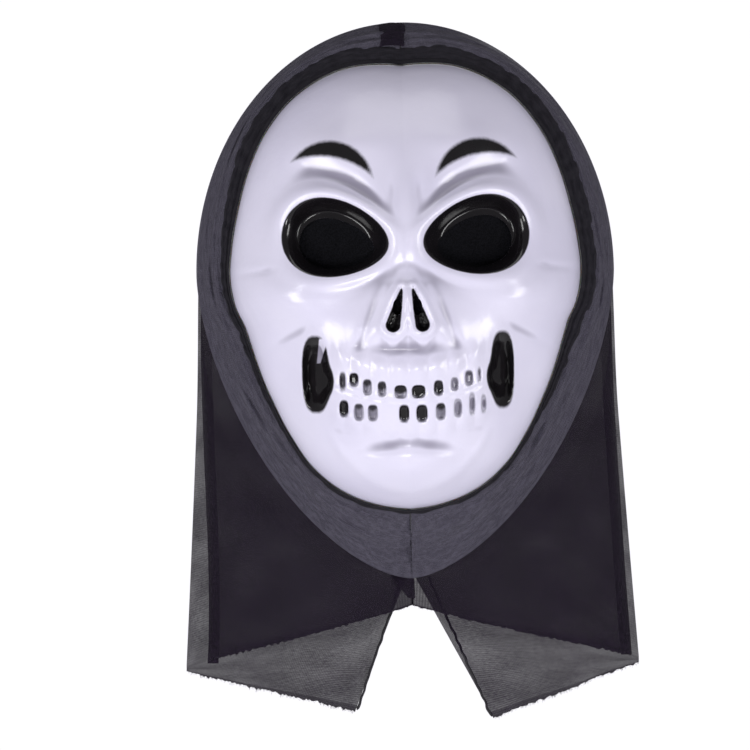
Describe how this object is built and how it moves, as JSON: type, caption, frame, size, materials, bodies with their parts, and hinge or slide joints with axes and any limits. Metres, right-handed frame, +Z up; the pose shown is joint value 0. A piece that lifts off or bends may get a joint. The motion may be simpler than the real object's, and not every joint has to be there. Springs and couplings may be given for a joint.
{
  "type": "hooded skull mask",
  "caption": "White glossy skull face shell with dark eye openings, set in a sheer black hood whose skirt ends in two hanging tails.",
  "frame": {"origin": "centre of the face shell's rim plane, where the wearer's head holds the mask", "axes": "+Z up as worn, -Y the way the face looks, +X to the right of someone who faces the mask"},
  "size_m": [0.2502, 0.2258, 0.3855],
  "materials": {
    "shell": "glossy white vacuum-formed sheet with sprayed gloss black details",
    "gauze": "matt black gauze",
    "binding": "folded black cloth edge",
    "band_cloth": "charcoal voile",
    "sheer_cloth": "sheer black voile",
    "thread": "overlocked black thread",
    "glue": "hot-melt glue",
    "elastic": "flat woven black elastic",
    "staple": "bright wire"
  },
  "bodies": {
    "root": {"face_shell": "shell", "rim_binding": "binding", "glue_bead": "glue", "nose_mesh": "gauze", "crown_seam": "thread", "chin_seam": "thread", "eye_mesh_left": "gauze", "eye_mesh_right": "gauze", "facing_band_left": "band_cloth", "facing_band_right": "band_cloth", "hood_panel_left": "sheer_cloth", "hood_panel_right": "sheer_cloth", "front_skirt_left": "sheer_cloth", "front_skirt_right": "sheer_cloth", "side_seam_left": "thread", "side_seam_right": "thread", "staple_left": "staple", "staple_right": "staple"},
    "left_tail": {"tail_left": "sheer_cloth", "slit_hem_left": "thread"},
    "right_tail": {"tail_right": "sheer_cloth", "slit_hem_right": "thread"},
    "strap": {"elastic_strap": "elastic"}
  },
  "joints": [
    {"name": "left_tail_fold", "type": "hinge", "parent": "root", "child": "left_tail", "pos_m": [-0.0646, 0.0823, -0.1832], "axis": [0.8654, 0.3628, 0.3456], "range_deg": [-12, 60]},
    {"name": "right_tail_fold", "type": "hinge", "parent": "root", "child": "right_tail", "pos_m": [0.0676, 0.0812, -0.1832], "axis": [0.8592, -0.3623, -0.3612], "range_deg": [-12, 60]},
    {"name": "strap_stretch", "type": "slide", "parent": "root", "child": "strap", "axis": [0, 1, 0], "range_m": [0, 0.04], "stiffness_N_per_m": 80, "deforming": ["elastic_strap"]}
  ]
}
